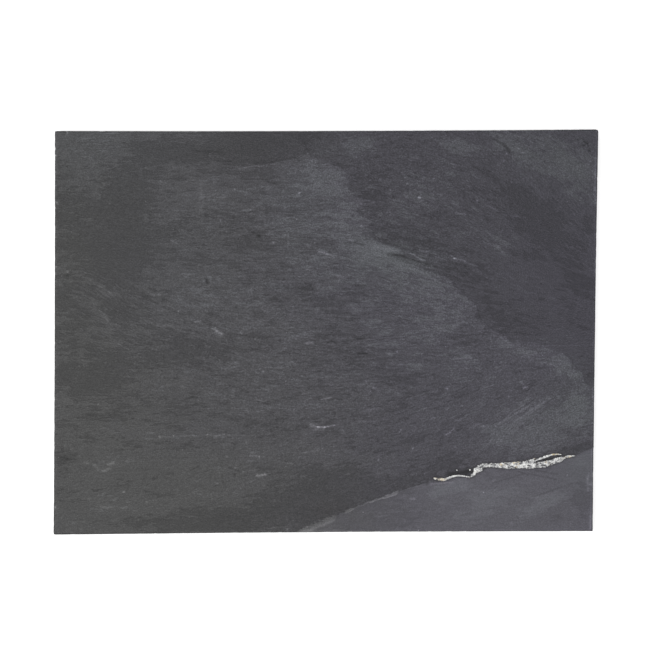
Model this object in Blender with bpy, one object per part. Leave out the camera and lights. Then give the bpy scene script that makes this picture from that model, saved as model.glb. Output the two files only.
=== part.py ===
"""A slab of riven slate, 400 x 300 mm and 8 mm thick, as one solid.

The slab lies on its underside, z = 0, with the origin at the middle of its outline. X runs
along the long side and Y across it. The top is a natural cleavage face, so it is never quite
flat: two sheets of slate have split away from it, a paper-thin one over the back right and a
deeper one across the front right corner. A crust of quartz stands in the deeper step. The
sides are sawn, with an arris that has crumbled a little.
"""

import bmesh
import bpy
from mathutils import Vector, noise

MM = 0.001

# The outline, corner by corner
BACK_LEFT = Vector((-201.4, 149.3, 0.0)) * MM
BACK_RIGHT = Vector((202.3, 150.5, 0.0)) * MM
FRONT_RIGHT = Vector((198.2, -148.0, 0.0)) * MM
FRONT_LEFT = Vector((-202.3, -150.5, 0.0)) * MM
LONG_SIDE_HOLLOW = 0.6 * MM  # how far the long sides bow inwards at the middle
THICKNESS = 8.0 * MM

# The cleavage face
CELL = 6.8 * MM  # length of a facet of the top
SWELL_LENGTH = 130.0 * MM
SWELL_HEIGHT = 0.28 * MM
RIPPLE_LENGTH = 34.0 * MM
RIPPLE_HEIGHT = 0.13 * MM
GRAIN_STRETCH = 2.2  # ripples are this much longer along X than across

# The sides
ARRIS = 0.7 * MM
CHIP_LENGTH = 9.0 * MM
CHIP_DEPTH = 0.9 * MM
CHIP_THRESHOLD = 0.22

# The thin sheet that split away over the back right: the edge it left, from back to right
THIN_EDGE = [
    (-34, 176), (-13, 132), (10, 123), (19, 107), (27, 87), (31, 70), (52, 60), (48, 50),
    (70, 48), (84, 42), (96, 31), (113, 15), (132, -2), (162, -10), (184, -20), (222, -54),
]
THIN_SHEET = 0.28 * MM

# The deeper sheet that split away across the front right corner: its edge, left to right
DEEP_EDGE = [
    (-46, -163), (-21, -147.5), (4, -136.5), (21, -130), (42, -122), (57, -117), (75, -111.5),
    (88, -109), (104, -105.5), (120, -100.5), (150, -98), (168, -94.5), (182, -92), (222, -79),
]
DEEP_SHEET = 0.95 * MM
FEATHERED_SHEET = 0.4 * MM  # where the deep sheet thins out towards its left end
FEATHER_FROM_X = -25.0 * MM
FEATHER_TO_X = 60.0 * MM
STEP_LEAN = 0.9 * MM  # how far a step leans back from foot to crest
EDGE_SAMPLE = 5.0 * MM
ABOVE = 14.0 * MM  # top of the cutters, well above the slab

# The quartz crust, as (x, y, half width, height above the middle of the step) in mm, left to right
MAIN_CRUST = [
    (79, -108.6, 0.8, 0.7), (87, -110.0, 0.9, 0.8), (93, -106.6, 0.9, 0.9),
    (106, -106.6, 1.2, 0.9), (111, -104.0, 1.9, 1.1), (119, -99.8, 1.8, 1.1),
    (130, -98.8, 2.3, 1.2), (142, -99.2, 2.6, 1.3), (153, -98.6, 2.9, 1.3),
    (162, -96.8, 2.5, 1.2), (172, -94.6, 2.0, 1.1), (179, -92.8, 1.2, 0.9),
    (184.5, -92.0, 0.5, 0.7),
]
UPPER_BRANCH = [
    (152, -96.6, 1.1, 1.0), (158, -93.8, 0.9, 1.0), (166, -91.4, 0.9, 0.9), (175, -91.0, 0.5, 0.8),
]
CRUST_SIDES = 8
CRUST_ROOT = 1.3 * MM  # how deep the crust goes into the slate
CRUST_SAMPLE = 3.2 * MM
CRUST_LUMP_LENGTH = 4.0 * MM
CRUST_LUMP_HEIGHT = 0.3 * MM

# Marks in the top: a gouge and two pits near the back right corner
GOUGE_FROM = Vector((122.6, 143.6, 0.0)) * MM
GOUGE_TO = Vector((134.4, 134.3, 0.0)) * MM
GOUGE_RADIUS = 0.8 * MM
PITS = [(192.7, 139.8, 1.5), (195.8, 134.5, 1.1), (-88.1, 38.1, 0.8), (-49.3, 70.7, 0.7)]

# Shallow scars in the underside where flakes came off: x, y, half length, half width in mm
SCARS = [(-128, 74, 42, 21), (96, 92, 33, 17), (137, -63, 27, 19), (-74, -96, 36, 15)]
SCAR_DEPTH = 0.55 * MM

SLATE_COLOUR = (0.082, 0.082, 0.088, 1.0)
SLATE_ROUGHNESS = 0.72


def clear_scene():
    for obj in list(bpy.data.objects):
        bpy.data.objects.remove(obj, do_unlink=True)


def add_object(name, bm):
    """An object made of bm's mesh, with its faces turned outwards."""
    bmesh.ops.recalc_face_normals(bm, faces=bm.faces[:])
    mesh = bpy.data.meshes.new(name)
    bm.to_mesh(mesh)
    bm.free()
    obj = bpy.data.objects.new(name, mesh)
    bpy.context.scene.collection.objects.link(obj)
    return obj


def hide_cutter(obj):
    obj.hide_render = True
    obj.display_type = "WIRE"
    return obj


def relief(x, y):
    """How far the cleavage face stands above its mean level at this place."""
    swell = noise.noise(Vector((x / SWELL_LENGTH, y / SWELL_LENGTH, 0.3)))
    along = x / (RIPPLE_LENGTH * GRAIN_STRETCH)
    ripple = noise.fractal(Vector((along, y / RIPPLE_LENGTH, 4.7)), 0.9, 2.0, 2)
    return SWELL_HEIGHT * swell + RIPPLE_HEIGHT * ripple


def outline_point(u, v):
    """The place in the outline for u, from -1 at the left to 1, and v, from -1 at the front."""
    right = (u + 1) / 2
    back = (v + 1) / 2
    front_side = FRONT_LEFT.lerp(FRONT_RIGHT, right)
    back_side = BACK_LEFT.lerp(BACK_RIGHT, right)
    place = front_side.lerp(back_side, back)
    place.y -= v * LONG_SIDE_HOLLOW * (1 - u * u)
    return place


def chip(place):
    """How deep the arris is chipped at this place, mostly nothing."""
    lump = noise.noise(Vector((place.x / CHIP_LENGTH, place.y / CHIP_LENGTH, 9.1)))
    return CHIP_DEPTH * max(0.0, lump - CHIP_THRESHOLD)


def side_ring(bm, edges):
    """Extrudes a ring of side faces from these edges and returns its new vertices and edges."""
    made = bmesh.ops.extrude_edge_only(bm, edges=edges)["geom"]
    verts = [item for item in made if isinstance(item, bmesh.types.BMVert)]
    new_edges = [item for item in made if isinstance(item, bmesh.types.BMEdge)]
    old = {vert for edge in edges for vert in edge.verts}
    ring = [edge for edge in new_edges if not any(vert in old for vert in edge.verts)]
    return verts, ring


def slab_blank():
    """The whole slab before the sheets split off: a riven top, sawn sides, a flat underside."""
    half_length = (BACK_RIGHT.x - BACK_LEFT.x) / 2
    half_width = (BACK_LEFT.y - FRONT_LEFT.y) / 2
    face_u = 1 - ARRIS / half_length
    face_v = 1 - ARRIS / half_width
    bm = bmesh.new()
    bmesh.ops.create_grid(
        bm, x_segments=round(2 * half_length / CELL), y_segments=round(2 * half_width / CELL), size=1
    )
    for vert in bm.verts:
        place = outline_point(vert.co.x * face_u, vert.co.y * face_v)
        vert.co = (place.x, place.y, THICKNESS + relief(place.x, place.y))
    rim = [edge for edge in bm.edges if edge.is_boundary]
    for vert in {vert for edge in rim for vert in edge.verts}:
        vert.co.z -= chip(vert.co)
    outwards = Vector((1 / face_u, 1 / face_v, 1))
    inwards = Vector((face_u, face_v, 1))

    shoulder, edges = side_ring(bm, rim)
    bmesh.ops.scale(bm, vec=outwards, verts=shoulder)
    for vert in shoulder:
        chipped = 1 - chip(vert.co) / half_length
        vert.co.x *= chipped
        vert.co.y *= chipped
        vert.co.z -= ARRIS
    foot, edges = side_ring(bm, edges)
    for vert in foot:
        vert.co.z = ARRIS
    heel, edges = side_ring(bm, edges)
    bmesh.ops.scale(bm, vec=inwards, verts=heel)
    for vert in heel:
        vert.co.z = 0
    bmesh.ops.contextual_create(bm, geom=edges)
    return add_object("slate_slab", bm)


def plan_line(points, spacing):
    """The plan points of a broken line, in metres and at most this far apart."""
    corners = [Vector((x, y, 0)) * MM for x, y in points]
    line = [corners[0]]
    for start, end in zip(corners, corners[1:]):
        steps = max(1, round((end - start).length / spacing))
        line += [start.lerp(end, step / steps) for step in range(1, steps + 1)]
    return line


def sheet_cutter(name, edge, reach, depth):
    """What a lost sheet took away: all that lies beyond edge, in the direction of reach.

    Its floor lies depth(x) under the cleavage face, and its wall leans back from the step.
    """
    line = plan_line(edge, EDGE_SAMPLE)
    lean = -reach.normalized() * STEP_LEAN * (ABOVE - THICKNESS) / DEEP_SHEET
    bm = bmesh.new()
    bmesh.ops.create_grid(
        bm, x_segments=len(line) - 1, y_segments=round(reach.length / CELL), size=1
    )
    near_edge = bm.verts.layers.int.new("near_edge")
    for vert in bm.verts:
        column = round((vert.co.x + 1) / 2 * (len(line) - 1))
        away = (vert.co.y + 1) / 2
        vert[near_edge] = int(away < 0.001)
        x, y, _ = line[column] + reach * away
        vert.co = (x, y, THICKNESS + relief(x, y) - depth(x))
    lid = bmesh.ops.extrude_face_region(bm, geom=bm.faces[:])["geom"]
    for vert in (item for item in lid if isinstance(item, bmesh.types.BMVert)):
        vert.co.z = ABOVE
        vert.co += lean * vert[near_edge]
    return hide_cutter(add_object(name, bm))


def thin_depth(_x):
    return THIN_SHEET


def deep_depth(x):
    share = min(1.0, max(0.0, (x - FEATHER_FROM_X) / (FEATHER_TO_X - FEATHER_FROM_X)))
    return FEATHERED_SHEET + (DEEP_SHEET - FEATHERED_SHEET) * share


def smooth_run(stations, spacing):
    """Stations between the given ones, each a list of numbers, at most this far apart."""
    run = [list(stations[0])]
    for start, end in zip(stations, stations[1:]):
        gap = (Vector(end[:2]) - Vector(start[:2])).length * MM
        steps = max(1, round(gap / spacing))
        for step in range(1, steps + 1):
            share = step / steps
            run.append([a + (b - a) * share for a, b in zip(start, end)])
    return run


def lump(place):
    """A rough displacement, different in each direction."""
    x, y, z = place / CRUST_LUMP_LENGTH
    swing = (noise.noise((x, y, z)), noise.noise((y, z, x)), noise.noise((z, x, y)))
    return Vector(swing) * CRUST_LUMP_HEIGHT


def crust_section(bm, station, along):
    """One cross-section of the crust, with a lumpy crown. Returns its edges, in order."""
    x, y, half_width, height = (value * MM for value in station)
    level = THICKNESS + relief(x, y) - DEEP_SHEET / 2
    ring = bmesh.ops.create_circle(bm, segments=CRUST_SIDES, radius=1)["verts"]
    across = Vector((-along.y, along.x, 0))
    for vert in ring:
        side, up = vert.co.x, vert.co.y
        lift = height * up if up > 0 else CRUST_ROOT * up
        vert.co = Vector((x, y, level + lift)) + across * side * half_width
        vert.co += lump(vert.co)
    return [bm.edges.get(pair) for pair in zip(ring, ring[1:] + ring[:1])]


def quartz_crust(name, stations):
    """A rough rib of quartz through these stations, to be joined to the slab."""
    run = smooth_run(stations, CRUST_SAMPLE)
    middles = [Vector((x, y, 0)) * MM for x, y, _, _ in run]
    bm = bmesh.new()
    before = None
    for index, station in enumerate(run):
        ahead = middles[min(index + 1, len(run) - 1)] - middles[max(index - 1, 0)]
        edges = crust_section(bm, station, ahead.normalized())
        if before is None:
            bmesh.ops.contextual_create(bm, geom=edges)
        else:
            bmesh.ops.bridge_loops(bm, edges=before + edges)
        before = edges
    bmesh.ops.contextual_create(bm, geom=before)
    return hide_cutter(add_object(name, bm))


def dish_cutter(name, middle, radii):
    """A flattened ball that leaves a shallow dish."""
    bm = bmesh.new()
    bmesh.ops.create_icosphere(bm, subdivisions=2, radius=1)
    bmesh.ops.scale(bm, vec=radii, verts=bm.verts)
    bmesh.ops.translate(bm, vec=middle, verts=bm.verts)
    return hide_cutter(add_object(name, bm))


def gouge_cutter():
    """A slim spindle lying in the surface along the gouge."""
    run = GOUGE_TO - GOUGE_FROM
    middle = (GOUGE_FROM + GOUGE_TO) / 2
    bm = bmesh.new()
    bmesh.ops.create_icosphere(bm, subdivisions=1, radius=1)
    bmesh.ops.scale(bm, vec=(run.length / 2, GOUGE_RADIUS, GOUGE_RADIUS), verts=bm.verts)
    turn = Vector((1, 0, 0)).rotation_difference(run).to_matrix()
    bmesh.ops.rotate(bm, matrix=turn, verts=bm.verts)
    level = THICKNESS + relief(middle.x, middle.y)
    bmesh.ops.translate(bm, vec=(middle.x, middle.y, level), verts=bm.verts)
    return hide_cutter(add_object("gouge_cutter", bm))


def pit_cutters():
    cutters = []
    for number, (x, y, radius) in enumerate(PITS, start=1):
        place = Vector((x, y, 0)) * MM
        place.z = THICKNESS + relief(place.x, place.y)
        cutters.append(dish_cutter(f"pit_cutter_{number}", place, Vector((radius,) * 3) * MM))
    return cutters


def scar_cutters():
    return [
        dish_cutter(f"scar_cutter_{number}", (x * MM, y * MM, 0), (a * MM, b * MM, SCAR_DEPTH))
        for number, (x, y, a, b) in enumerate(SCARS, start=1)
    ]


def combine(target, other, operation):
    step = target.modifiers.new(other.name, "BOOLEAN")
    step.operation = operation
    step.solver = "EXACT"
    step.object = other


def slate_material():
    material = bpy.data.materials.new("slate")
    material.use_nodes = True
    shader = material.node_tree.nodes["Principled BSDF"]
    shader.inputs["Base Color"].default_value = SLATE_COLOUR
    shader.inputs["Roughness"].default_value = SLATE_ROUGHNESS
    shader.inputs["Metallic"].default_value = 0.0
    return material


def main():
    clear_scene()
    slab = slab_blank()
    slab.data.materials.append(slate_material())
    thin_reach = Vector((230, 250, 0)) * MM
    deep_reach = Vector((0, -120, 0)) * MM
    combine(slab, sheet_cutter("thin_sheet_cutter", THIN_EDGE, thin_reach, thin_depth), "DIFFERENCE")
    combine(slab, sheet_cutter("deep_sheet_cutter", DEEP_EDGE, deep_reach, deep_depth), "DIFFERENCE")
    for cutter in [gouge_cutter(), *pit_cutters(), *scar_cutters()]:
        combine(slab, cutter, "DIFFERENCE")
    combine(slab, quartz_crust("main_crust", MAIN_CRUST), "UNION")
    combine(slab, quartz_crust("upper_branch", UPPER_BRANCH), "UNION")


main()
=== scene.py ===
"""A slab of riven slate with a quartz vein, lying in a plain pale studio.

The stone is one mesh: a riven top that two split sheets have left, sawn sides with their thin
laminations, and a dressed underside. The quartz crust that stands in the deeper split is a
second mesh with its roots in the first. Lengths are metres, except that the plan positions in
the lists are millimetres from the middle of the slab, with X to the right and Y to the back.
"""

import math

import bmesh
import bpy
import numpy as np
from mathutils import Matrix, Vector, noise


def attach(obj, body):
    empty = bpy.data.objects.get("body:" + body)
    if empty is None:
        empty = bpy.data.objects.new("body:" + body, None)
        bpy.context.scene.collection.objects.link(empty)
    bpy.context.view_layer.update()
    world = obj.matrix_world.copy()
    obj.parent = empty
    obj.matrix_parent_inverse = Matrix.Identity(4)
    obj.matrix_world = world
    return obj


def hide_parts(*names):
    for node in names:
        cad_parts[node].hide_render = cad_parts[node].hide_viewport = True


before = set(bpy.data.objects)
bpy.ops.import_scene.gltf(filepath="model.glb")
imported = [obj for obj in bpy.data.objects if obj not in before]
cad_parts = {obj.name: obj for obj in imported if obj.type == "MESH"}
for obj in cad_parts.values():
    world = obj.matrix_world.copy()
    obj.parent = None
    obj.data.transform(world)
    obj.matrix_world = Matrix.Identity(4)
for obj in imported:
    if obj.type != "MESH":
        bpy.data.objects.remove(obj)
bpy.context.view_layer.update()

MM = 0.001
STONE_NODE = "slate_slab"

# The outline, corner by corner, and the heights: as the solid has them
BACK_LEFT = Vector((-201.4, 149.3, 0.0)) * MM
BACK_RIGHT = Vector((202.3, 150.5, 0.0)) * MM
FRONT_RIGHT = Vector((198.2, -148.0, 0.0)) * MM
FRONT_LEFT = Vector((-202.3, -150.5, 0.0)) * MM
LONG_SIDE_HOLLOW = 0.6 * MM
SHORT_SIDE_HOLLOW = 0.4 * MM
THICKNESS = 8.0 * MM
HALF_LENGTH = (BACK_RIGHT.x - BACK_LEFT.x) / 2
HALF_WIDTH = (BACK_LEFT.y - FRONT_LEFT.y) / 2
ARRIS = 0.7 * MM

SWELL_LENGTH = 130.0 * MM
SWELL_HEIGHT = 0.28 * MM
RIPPLE_LENGTH = 34.0 * MM
RIPPLE_HEIGHT = 0.13 * MM
GRAIN_STRETCH = 2.2

# The mesh
CELL = 1.9 * MM
SIDE_ROWS = 8
UNDERSIDE_CELL = 7.0 * MM
UNDERSIDE_MARGIN = 3.0 * MM

# The edge that the thin sheet left, back to right, and the one of the deep sheet, left to right
THIN_EDGE = [
    (-34, 176), (-13, 132), (4, 125), (14, 120.5), (17, 113), (16.5, 106.5), (21, 103.5), (24, 100),
    (37, 96.8), (36.5, 95.2), (27, 94), (21.5, 89), (29, 85.8), (34.5, 82), (31.5, 78), (32, 73.5),
    (29.5, 70.5), (29, 68.5), (37, 67.8), (44, 66.4), (51, 62), (58.5, 59.6), (57.5, 58.4), (48, 57.6),
    (50, 54.6), (59, 51.6), (72, 46.6), (86, 42.6), (91, 40.4), (96, 33), (103, 26.2), (108, 22.6),
    (112, 19.8), (113, 14.5), (110.5, 10.8), (118, 6), (126, 0.4), (132, -2.2), (137, -5.6),
    (150, -7.2), (158, -8.8), (165, -11.6), (173, -14.6), (181, -20), (186, -27), (191, -32),
    (195, -40), (222, -58),
]
THIN_SIDE = [(280, -54), (280, 200), (-34, 200)]  # closes the plan of what the thin sheet left
THIN_SHEET = 0.28 * MM
# A darker film lies along the back; this is its front edge, left to right
BACK_FILM_EDGE = [
    (-230, 140), (-118, 136), (-100, 132.5), (-90, 131), (-84, 134), (-74, 130), (-66, 126),
    (-58, 124.2), (-50, 125), (-38, 126.2), (-28, 128.8), (-20, 131.4), (-12, 134.6), (30, 137),
]
BACK_FILM_SIDE = [(30, 200), (-230, 200)]
BACK_FILM_MIDDLE = -48.0
BACK_FILM_REACH = 38.0
BACK_FILM_TONE = -0.85
DEEP_EDGE = [
    (-46, -163), (-21, -147.5), (4, -136.5), (21, -130), (42, -122), (57, -117), (75, -111.5),
    (88, -109), (104, -105.5), (120, -100.5), (150, -98), (168, -94.5), (184, -91.6), (200, -84.6),
    (222, -76),
]
DEEP_SIDE = [(280, -76), (280, -200), (-46, -200)]
DEEP_SHEET = 0.95 * MM
FEATHERED_SHEET = 0.4 * MM
FEATHER_FROM_X = -25.0
FEATHER_TO_X = 60.0
# Width of the deep edge's slanted riser and how pale it is, both by X
RISER_WIDTHS = [
    (7, 4.5), (10, 1), (13, 1), (15, 2), (19, 2), (22, 0.9), (31, 0.9), (34, 1.3), (41, 1.4), (44, 2.3),
    (52, 2.3), (55, 1),
]
RISER_TONES = [
    (-60, 0.4), (-21, 0.7), (6, 0.7), (8.5, 0), (13, 0.1), (15, 1), (20, 0.9), (22, 0.6), (31, 0.7),
    (34, 0.95), (41, 1), (43, 1), (53, 1.1), (54.5, 0.4), (60, 0.5), (76, 0.4), (82, 0.1), (220, 0.1),
]
FINE_RIPPLE = 0.035  # of the face, in mm
LAMINATION = 0.13  # how deep the laminations of the sides are, in mm
CRUMBLE = 0.3  # how deep the arris has crumbled, in mm
RIM_WIDTH = 1.6
CORNER_RADII = [(BACK_LEFT, 1.0), (BACK_RIGHT, 1.9), (FRONT_RIGHT, 0.8), (FRONT_LEFT, 0.9)]
SCARS = [(-128, 74, 42, 21), (96, 92, 33, 17), (137, -63, 27, 19), (-74, -96, 36, 15)]
SCAR_DEPTH = 0.55

# The quartz crust along the deep edge: x, y of its middle, half width and height, in mm
MAIN_VEIN = [
    (110.2, -104.4, 1.1, 0.7), (112, -102, 2.5, 1), (114.6, -101.2, 2.3, 1.1), (117, -99, 1.8, 1.1),
    (120, -98.6, 1.4, 1.1), (125, -98.8, 1.5, 1), (130, -99, 2, 1.1), (135, -99, 2.4, 1.2),
    (140, -98.8, 2.5, 1.2), (144, -98.6, 2.8, 1.3), (148, -98.5, 2.7, 1.3), (152, -99, 2.4, 1.3),
    (156.4, -98.9, 2, 1.2), (162, -98.2, 2.2, 1.2), (168, -96.6, 2.1, 1.2), (173.6, -94.6, 1.6, 1.1),
    (178, -92.7, 1, 0.8), (181.8, -91.9, 0.8, 0.7), (184.4, -91.8, 0.5, 0.6),
]
UPPER_VEIN = [
    (149, -96.9, 1.9, 1.1), (153, -95.4, 1.6, 1.1), (157, -94.3, 1.2, 1), (161, -93.2, 1, 0.9),
    (165, -91.9, 0.9, 0.8), (169, -90.9, 0.8, 0.8), (172, -90.7, 0.6, 0.7), (174.6, -90.9, 0.4, 0.6),
]
VEIN_TAIL = [
    (87.4, -109.6, 1.1, 0.7), (90.6, -108.5, 1.1, 0.8), (94, -107, 0.9, 0.9), (98, -106.5, 0.7, 0.9),
    (102, -106.8, 0.65, 0.9), (106.6, -107.2, 0.9, 0.9), (110, -105.6, 1, 0.9),
]
RUSTY_TAIL = [
    (80.6, -108.6, 0.8, 0.7), (82.6, -108.9, 1.2, 0.8), (85.2, -109.2, 1.1, 0.8),
    (87.4, -109.6, 1.1, 0.7),
]
VEIN_SPECKS = [(74.9, -111.8, 0.7), (97.0, -102.5, 0.75), (105.0, -101.3, 0.8), (106.8, -102.2, 0.8)]
# Rust on the quartz: x, y, reach along X and Y, and strength
STAINS = [
    (171, -91, 2.5, 2.5, 0.5), (179, -92.8, 2.5, 2.5, 0.6), (106, -102.2, 1.5, 1.5, 0.9),
    (117, -99, 2, 2, 0.5),
]
VEIN_CELL = 0.3
VEIN_RAGGEDNESS = 0.5
VEIN_ROOT = 0.5  # how deep the crust goes down into the slate, in mm

# The finish of the slate
NEUTRAL_SLATE = (0.0565, 0.0565, 0.0565)
PURPLE_SLATE = (0.0541, 0.0515, 0.0668)
WARM_SLATE = (0.0600, 0.0520, 0.0530)
COOL_SLATE = (0.0537, 0.0565, 0.0624)
RUST = (0.82, 0.69, 0.48)  # multiplies the quartz
VOID_QUARTZ = (0.05, 0.05, 0.055)
CLEAR_QUARTZ = (0.33, 0.33, 0.34)
MILKY_QUARTZ = (0.84, 0.84, 0.825)
CRYSTAL_SIZE = 0.9 * MM
CLOUD_SIZE = 2.4 * MM
RUST_SIZE = 5 * MM
CRYSTAL_DEPTH = 0.25 * MM
FINE_CONTRAST = 1.3
WISP_CONTRAST = 0.9
SPECKLE_CONTRAST = 1.0
BROAD_FILMS = 2.4
SHREDDED_FILMS = 4.4
FILM_FRAY = 3.0
FILM_CONTRAST = 0.2
BROAD_CONTRAST = 0.36
FLOOR_FLATNESS = -0.4
# Painted shade: how much darker the slate is in a narrow band around the quartz crust
VEIN_SHADE_DARKNESS = -0.45
FLECK_PALENESS = 0.9
# Streaks along the cleavage: length and width
FINE_STREAK = (1.8 * MM, 0.75 * MM)
WISP = (9 * MM, 1.36 * MM)
SHRED = (16 * MM, 4 * MM)
BROAD_STREAK = (46 * MM, 15 * MM)
STREAK_WARP = 5 * MM
FINE_WARP_SHARE = 0.4
SPECKLE_SIZE = 0.75 * MM
FLECK_SPACING = 7 * MM
# Depths of the finest relief
FILM_STEP = 0.10 * MM
FINE_DEPTH = 0.12 * MM
WISP_DEPTH = 0.30 * MM
SPECKLE_DEPTH = 0.06 * MM
SIDE_SPECKLE_DEPTH = 0.1 * MM
LAYER_DEPTH = 0.3 * MM
SIDE_PALENESS = 0.15
LAYER_LENGTH = 28 * MM
LAYER_THICKNESS = 0.5 * MM
TONE_STEP = 0.13
MARK_STEP = 0.6
FLOOR_PALENESS = 0.40
SPLIT_DARKNESS = -0.2
HEADING_STEP = math.radians(15)
HEADINGS = [math.radians(degrees) for degrees in (-45, -30, -15, 0, 15, 30)]

# The studio
VIEW_WIDTH = 493.3 * MM  # of the picture, at the height of the face
VIEW_MIDDLE = (4.86 * MM, -0.36 * MM)
CAMERA_HEIGHT = 1.6
FLOOR_SIZE = 8.0
SKY_STRENGTH = 0.8
KEY_POWER = 26.0


def add_mesh_object(name, bm):
    mesh = bpy.data.meshes.new(name)
    bm.to_mesh(mesh)
    bm.free()
    obj = bpy.data.objects.new(name, mesh)
    bpy.context.scene.collection.objects.link(obj)
    return obj


def vertex_places(mesh):
    flat = np.empty(len(mesh.vertices) * 3)
    mesh.vertices.foreach_get("co", flat)
    return flat.reshape(-1, 3)


def vertex_numbers(mesh, name):
    numbers = np.empty(len(mesh.vertices), dtype=np.int32)
    mesh.attributes[name].data.foreach_get("value", numbers)
    return numbers


def move_vertices(mesh, place):
    mesh.vertices.foreach_set("co", place.ravel())
    mesh.update()


def set_attributes(mesh, **layers):
    for name, values in layers.items():
        data = mesh.attributes.new(name, "FLOAT", "POINT").data
        data.foreach_set("value", np.asarray(values, dtype=np.float32))


# ---------------------------------------------------------------- plan geometry, in mm


def line_distance(points, line):
    """Each point's distance to a broken line."""
    nearest = np.full(len(points), np.inf)
    corners = np.array(line, dtype=float)
    for start, end in zip(corners[:-1], corners[1:]):
        run = end - start
        share = np.clip((points - start) @ run / (run @ run), 0, 1)
        nearest = np.minimum(nearest, np.linalg.norm(points - start - share[:, None] * run, axis=1))
    return nearest


def inside(points, outline):
    """Which points lie inside a closed outline."""
    corners = np.array(outline, dtype=float)
    within = np.zeros(len(points), dtype=bool)
    x, y = points.T
    for (x1, y1), (x2, y2) in zip(corners, np.roll(corners, -1, axis=0)):
        spans = (y1 > y) != (y2 > y)
        if y1 != y2:
            within ^= spans & (x < x1 + (y - y1) * (x2 - x1) / (y2 - y1))
    return within


def beyond(points, edge, side):
    """Distance past a split edge: positive where the sheet is gone, negative where it is left."""
    distance = line_distance(points, edge)
    return np.where(inside(points, edge + side), distance, -distance)


def smooth(values, low, high):
    share = np.clip((values - low) / (high - low), 0, 1)
    return share * share * (3 - 2 * share)


def lumps(points, along, across, seed, heading=0.0, octaves=2):
    """Noise from about -1 to 1 at each point, with lumps this long and wide along a heading."""
    turn = math.radians(heading)
    u = (points[:, 0] * math.cos(turn) + points[:, 1] * math.sin(turn)) / along
    v = (points[:, 1] * math.cos(turn) - points[:, 0] * math.sin(turn)) / across
    return np.array([noise.fractal((a, b, seed), 0.8, 2.0, octaves) for a, b in zip(u, v)])


# ---------------------------------------------------------------- the cleavage face


def relief(x, y):
    """The broad relief of the cleavage face, as the solid has it, in metres."""
    swell = noise.noise((x / SWELL_LENGTH, y / SWELL_LENGTH, 0.3))
    along = x / (RIPPLE_LENGTH * GRAIN_STRETCH)
    ripple = noise.fractal((along, y / RIPPLE_LENGTH, 4.7), 0.9, 2.0, 2)
    return SWELL_HEIGHT * swell + RIPPLE_HEIGHT * ripple


def outline_point(u, v):
    right = (u + 1) / 2
    back = (v + 1) / 2
    front_side = FRONT_LEFT.lerp(FRONT_RIGHT, right)
    back_side = BACK_LEFT.lerp(BACK_RIGHT, right)
    place = front_side.lerp(back_side, back)
    place.y -= v * LONG_SIDE_HOLLOW * (1 - u * u)
    place.x -= u * SHORT_SIDE_HOLLOW * (1 - v * v)
    return place
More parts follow.
